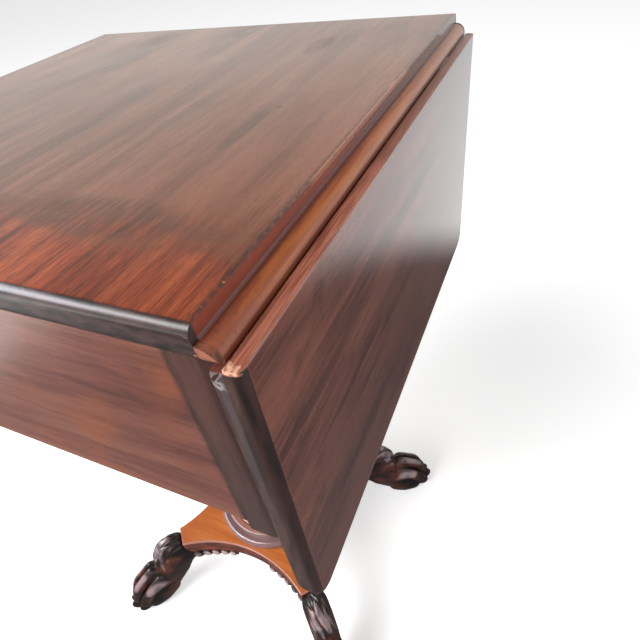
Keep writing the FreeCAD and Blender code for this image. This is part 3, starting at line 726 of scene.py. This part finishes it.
fillet = past_flat.rise(-0.0006, 0.0002) * below.rise(0.0002, 0.0012)
step_wood = top.mix(paint(108, 32, 14), paint(170, 66, 32), top.streaks(Y, 0.002, 0.05, 70))
step_wood = top.mix(step_wood, paint(78, 32, 21), top.y.rise(-0.13, 0.03) * 0.75)
wood = top.mix(wood, step_wood, fillet)
sliver = past_flat.band(-0.001, 0.0005, 0.0002) * top.y.band(-0.1, 0.05, 0.01)
sliver = sliver * grain_edge.rise(0.3, 0.42)
chips = top.noise((0.004, 0.0035, 0.004), 72, 3.0).rise(0.64, 0.68)
chips = chips * past_flat.band(-0.0012, 0.0005, 0.0004)
chips = chips.most(spot(top, flat_half - 0.0012, 0.024, 0.0022, 0.008) * grain_edge.rise(0.4, 0.5))
wood = top.mix(wood, paint(176, 112, 84), sliver.most(chips) * below.rise(0.003, 0.002) * 0.9)
specks = top.noise((0.0012, 0.002, 0.0012), 74, 1.0).rise(0.76, 0.8)
wood = top.mix(wood, paint(196, 170, 160), specks * fillet * 0.8)

ovolo = past_flat.rise(0.0002, 0.0006) * below.rise(step_height - 0.0006, step_height)
out_share = past_flat / ovolo_reach
worn_end = (top.y + top.noise((0.004, 0.01, 0.004), 77, 3.0) * 0.05).rise(-0.13, -0.175)
far_end = top.y.rise(0.02, 0.16)
honey_grain = top.streaks(Y, 0.0022, 0.05, 76, 3.0).rise(0.4, 0.65)
honey = top.mix(paint(208, 118, 58), paint(182, 94, 54), honey_grain)
honey = top.mix(honey, paint(170, 92, 72), worn_end * 0.75)
honey = top.mix(honey, paint(180, 106, 66), far_end * 0.7)
rich = top.mix(paint(178, 90, 60), paint(146, 68, 46), top.streaks(Y, 0.0015, 0.04, 78, 3.0))
rounding = top.mix(rich, honey, (out_share + grain_edge * 0.3 - 0.15 + far_end * 0.2).rise(0.2, 0.45))
rounding = top.mix(rounding, paint(100, 44, 24), out_share.rise(0.93, 0.99) * 0.8)
scratches = top.noise((0.0012, 0.0012, 0.006), 79, 2.0).rise(0.6, 0.66)
rounding = top.mix(rounding, paint(110, 56, 38), scratches * worn_end * 0.5)
wood = top.mix(wood, rounding, ovolo)
# Painted highlight: a thin lavender line at the foot of the step.
foot_highlight = past_flat.band(0.0001, 0.0008, 0.0003) * below.rise(step_height - 0.002, step_height)
wood = top.mix(wood, paint(176, 152, 156), foot_highlight * 0.8)

ends = (abs(top.y) - flat_half).rise(0.0002, 0.0014)
end_marks = top.noise((0.008, 0.005, 0.004), 81, 2.0)
end_wood = top.mix(paint(30, 20, 19), paint(62, 40, 36), end_marks.rise(0.35, 0.62))
moulding_end = top.mix(paint(156, 92, 66), paint(104, 56, 42), end_marks.rise(0.4, 0.6))
wood = top.mix(wood, top.mix(end_wood, moulding_end, ovolo), ends)
knocks = top.noise((0.005, 0.004, 0.004), 83, 3.0).rise(0.64, 0.68)
wood = top.mix(wood, paint(206, 142, 112), knocks * ends * past_flat.rise(-0.004, 0.0) * 0.9)
lower_end = ends * below.rise(0.0045, 0.0075)
dull = top.noise((0.04, 0.08, 0.04), 5) * 0.14 + 0.2 + ends * 0.04 + lower_end * 0.2
polish = (0.45 - 0.15 * faded) * (1 - 0.85 * ends)
open_grain = top.streaks(Y, 0.0012, 0.012, 63, 1.0)
relief = open_grain * below.rise(0.0016, 0.0008) * top.y.rise(0.1, -0.12)
dress(top.surface(wood, dull, relief, 0.00006, coat_weight=polish, coat_roughness=0.08), "table_top")

# Leaves: boards of the same mahogany with a cove under the joint's edge, hung on two hinges each.
# Their faces keep more of the old polish. Their rounded ends carry a painted grey sheen and a painted
# highlight line.
leaf_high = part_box("right_leaf")[1]
end_round = 0.0045
lip_width = 0.0066
highlight_line_start, highlight_line_end = 0.0094, 0.0118
near_end_start, near_end_full = -0.19, -0.2
leaf = Finish("leaf_polish")
inward = leaf_high.x - abs(leaf.x)
from_end = leaf_high.y - abs(leaf.y)
below = leaf_high.z - leaf.z
wood = figured(leaf, Y, paint(78, 44, 38), paint(122, 76, 67), paint(150, 94, 78), 71, 0.013, 0.75)
ribbon = leaf.streaks(Y, 0.01, 0.16, 75, 2.0, 0.45)
wood = leaf.mix(wood, paint(52, 32, 30), ribbon.rise(0.54, 0.72) * 0.6)
wood = leaf.mix(wood, paint(150, 78, 58), ribbon.rise(0.46, 0.28) * 0.35)
blotch = leaf.noise((0.03, 0.03, 0.02), 78, 3.0).rise(0.58, 0.7)
wood = leaf.mix(wood, paint(58, 36, 34), blotch * 0.4)
fine_pores = pores(leaf, Y, 0.0004, 0.005, 76, 0.58, 0.7)
wood = leaf.mix(wood, paint(56, 30, 26), fine_pores * 0.3)
# Painted shade: the face darkens further down the hanging leaf.
wood = leaf.mix(wood, paint(58, 38, 38), below.rise(0.03, 0.16) * 0.4)
# Painted sheen: the upper far part of the face is greyed.
grey_sheen = leaf.y.rise(-0.02, 0.16) * below.rise(0.19, 0.1)
wood = leaf.mix(wood, paint(52, 50, 52), grey_sheen * 0.6)

strip = below.rise(0.0012, 0.0005)
strip_grain = leaf.streaks(Y, 0.0012, 0.03, 82, 2.0).rise(0.35, 0.65)
strip_wood = leaf.mix(paint(196, 122, 98), paint(152, 86, 68), strip_grain)
strip_wood = leaf.mix(strip_wood, paint(110, 62, 50), leaf.y.rise(-0.13, 0.05) * 0.6)
wood = leaf.mix(wood, strip_wood, strip)
nicks = leaf.noise((0.002, 0.003, 0.002), 84, 3.0)
rim = inward.rise(0.0012, 0.0003) * strip
wood = leaf.mix(wood, paint(150, 120, 116), rim * nicks.rise(0.4, 0.5) * 0.7)
inner_rim = inward.rise(lip_width, lip_width + 0.0008) * strip
wood = leaf.mix(wood, paint(84, 44, 32), inner_rim * nicks.rise(0.35, 0.5) * 0.8)

ends = from_end.rise(end_round + 0.0003, end_round - 0.0004)
bare_end = ends * (1 - strip)
near_end = leaf.y.rise(near_end_start, near_end_full)
swirl = leaf.noise((0.006, 0.006, 0.03), 86, 2.0, 0.6)
dark_end = leaf.mix(paint(26, 14, 13), paint(52, 26, 20), swirl.rise(0.4, 0.6))
# Painted sheen on the rounded ends: grey brown on their inner part, going dark towards the face.
end_sheen = leaf.mix(paint(76, 52, 45), paint(46, 30, 27), swirl.rise(0.4, 0.62))
towards_face = (inward - swirl * 0.003).rise(0.0055, 0.0015)
wood = leaf.mix(wood, leaf.mix(end_sheen, dark_end, towards_face), bare_end)
# Painted highlight: a soft grey line along the inner rounding of each end.
highlight_line = inward.band(highlight_line_start, highlight_line_end, 0.0012) * swirl.rise(0.3, 0.55)
highlight_line = highlight_line * below.rise(0.17, 0.02)
wood = leaf.mix(wood, paint(94, 87, 91), highlight_line * bare_end * 0.4)
rubbed_corner = below.band(0.008, 0.0115, 0.0015) * inward.rise(0.008, 0.011) * nicks.rise(0.42, 0.52)
wood = leaf.mix(wood, paint(168, 160, 162), rubbed_corner * ends * near_end * 0.6)
crease = from_end.band(end_round + 0.0001, end_round + 0.0007, 0.0003) * (1 - strip)
crease = crease * inward.rise(0.001, 0.0) * nicks.rise(0.35, 0.55)
wood = leaf.mix(wood, paint(140, 72, 54), crease * 0.6)
break_line = from_end - inward * 0.35 - (nicks - 0.5) * 0.006
chip = break_line.rise(0.0022, 0.0015) * below.rise(0.003, 0.0018)
chip = chip * inward.rise(0.0005, 0.0018) * near_end * leaf.x.rise(0.1, 0.12)
wood = leaf.mix(wood, leaf.mix(paint(168, 100, 76), paint(232, 178, 148), nicks.rise(0.35, 0.6)), chip)
dull = leaf.noise((0.05, 0.05, 0.05), 5) * 0.06 + 0.1 + ends * 0.2 + strip * 0.16
relief = leaf.streaks(Y, 0.0014, 0.02, 73, 1.0) * (1 - ends)
polish = 0.32 - 0.24 * strip
dress(leaf.surface(wood, dull, relief, 0.00003, coat_weight=polish, coat_roughness=0.05),
      "right_leaf", "left_leaf")

# Hinges: rule-joint hinges of cast iron, blackened with age, let into the undersides of the top and
# the leaves and held by countersunk steel screws. Such screws also hold the cap under the case.
iron = Finish("old_iron")
rust = iron.noise((0.004, 0.004, 0.004), 2, 3.0).rise(0.45, 0.65)
iron_colour = iron.mix(paint(58, 54, 52), paint(92, 60, 44), rust)
iron_names = [hand + part for hand in ("right", "left")
              for part in ("_hinge_top_flaps", "_hinge_leaf_flaps", "_hinge_pins")]
dress(iron.surface(iron_colour, rust * 0.3 + 0.45, rust, 0.0001, metallic=0.8), *iron_names)
steel = Finish("screw_steel")
smudge = steel.noise((0.002, 0.002, 0.002), 7, 2.0)
steel_colour = steel.mix(paint(120, 118, 112), paint(80, 74, 68), smudge)
dress(steel.surface(steel_colour, smudge * 0.3 + 0.3, metallic=0.9),
      "top_flap_screws", "right_leaf_screws", "left_leaf_screws", "cap_screws")

# Studio: a wide pale floor that glows a little, a soft key light above the near left, a panel of
# light at the left that only reflections see, and a surround bright at the horizon and darker above.
floor_reach = 14.0
floor_glow = 0.52
floor_corners = [(x * floor_reach, y * floor_reach, 0.0) for x, y in ((-1, -1), (1, -1), (1, 1), (-1, 1))]
floor_mesh = bpy.data.meshes.new("floor")
floor_mesh.from_pydata(floor_corners, [], [(0, 1, 2, 3)])
floor = plain_object("floor", floor_mesh)
floor_paint = Finish("floor_paint")
floor_mesh.materials.append(floor_paint.surface(paint(250, 250, 250), 0.85, specular_ior_level=0.1,
                                                emission_color=paint(250, 252, 255),
                                                emission_strength=floor_glow))


def soft_light(name, place, target, width, height, power, tint=(1.0, 1.0, 1.0)):
    """A rectangle of light at a place, facing its target."""
    data = bpy.data.lights.new(name, "AREA")
    data.shape = "RECTANGLE"
    data.size = width
    data.size_y = height
    data.energy = power
    data.color = tint
    light = bpy.data.objects.new(name, data)
    bpy.context.scene.collection.objects.link(light)
    back = (Vector(place) - Vector(target)).normalized()
    light.matrix_world = Matrix.Translation(place) @ back.to_track_quat("Z", "Y").to_matrix().to_4x4()
    return light


key_place, key_size, key_power = (-1.6, -2.6, 3.4), 2.6, 210
table_middle = (0.0, 0.0, 0.5)
soft_light("key", key_place, table_middle, key_size, key_size, key_power)

panel_place, panel_width, panel_height, panel_power = (-1.56, -0.82, 1.4), 1.5, 0.9, 44
near_edge = (0.1, -0.2, 0.74)
cool_white = (0.9, 0.9, 1.0)
edge_light = soft_light("edge_light", panel_place, near_edge, panel_width, panel_height, panel_power,
                        cool_white)
edge_light.visible_diffuse = False

zenith_strength, horizon_strength = 0.2, 0.94
zenith_height, horizon_height = 0.6, 0.12
world = bpy.data.worlds.new("surround")
bpy.context.scene.world = world
world.use_nodes = True
surround = Tree(world.node_tree)
surround.tree.nodes.clear()
way = surround.node("ShaderNodeTexCoord", out="Generated")
upward = surround.node("ShaderNodeSeparateXYZ", values={0: way}, out="Z")
lower_share = upward.rise(zenith_height, horizon_height)
strength = lower_share * (horizon_strength - zenith_strength) + zenith_strength
backdrop = surround.node("ShaderNodeBackground", values={"Color": paint(255, 253, 247), "Strength": strength})
surround.link(backdrop, surround.tree.nodes.new("ShaderNodeOutputWorld").inputs["Surface"])

# A dark card, round on its far side and long on its near side, lies under the table. Only
# reflections see it, as a black flag in a studio keeps the white floor out of a polished leaf.
card_radius = 1.3
card_lift = 0.001
card_sides = 96
near_stretch = 0.4
dark_reach, clear_reach = 0.9, 1.15
card_rim = []
for i in range(card_sides):
    angle = i * math.tau / card_sides
    x, y = card_radius * math.cos(angle), card_radius * math.sin(angle)
    card_rim.append((x, y if y > 0 else y / near_stretch, card_lift))
card_mesh = bpy.data.meshes.new("card")
card_mesh.from_pydata(card_rim, [], [tuple(range(card_sides))])
card = plain_object("card", card_mesh)
card.visible_camera = False
card.visible_diffuse = False
card.visible_shadow = False
card.visible_transmission = False
velvet = Finish("card_velvet")
narrowed = velvet.y.most(velvet.y * near_stretch)
drawn_in = velvet.node("ShaderNodeCombineXYZ", values={0: velvet.x, 1: narrowed})
away = velvet.node("ShaderNodeVectorMath", {"operation": "LENGTH"}, {0: drawn_in}, out="Value")
clear = velvet.node("ShaderNodeBsdfTransparent")
cloth = velvet.node("ShaderNodeBsdfDiffuse", values={"Color": paint(60, 56, 58)})
dark_share = away.rise(clear_reach, dark_reach) * 0.93
both = velvet.node("ShaderNodeMixShader", values={0: dark_share, 1: clear, 2: cloth})
velvet.link(both, velvet.tree.nodes.new("ShaderNodeOutputMaterial").inputs["Surface"])
card_mesh.materials.append(velvet.material)

# Camera: close above the near right corner, as in the photograph.
camera_place = (0.3018, -0.2912, 0.8415)
camera_right = (0.91072, 0.39125, -0.13233)
camera_up = (-0.17348, 0.65311, 0.73713)
camera_back = (0.37483, -0.64836, 0.66267)
camera_data = bpy.data.cameras.new("camera")
camera_data.sensor_width = 36.0
camera_data.lens = 27.63
camera_data.clip_start = 0.01
camera = bpy.data.objects.new("camera", camera_data)
bpy.context.scene.collection.objects.link(camera)
turn = Matrix((camera_right, camera_up, camera_back)).transposed().to_4x4()
camera.matrix_world = Matrix.Translation(camera_place) @ turn
bpy.context.scene.camera = camera
bpy.context.scene.view_settings.view_transform = "Standard"
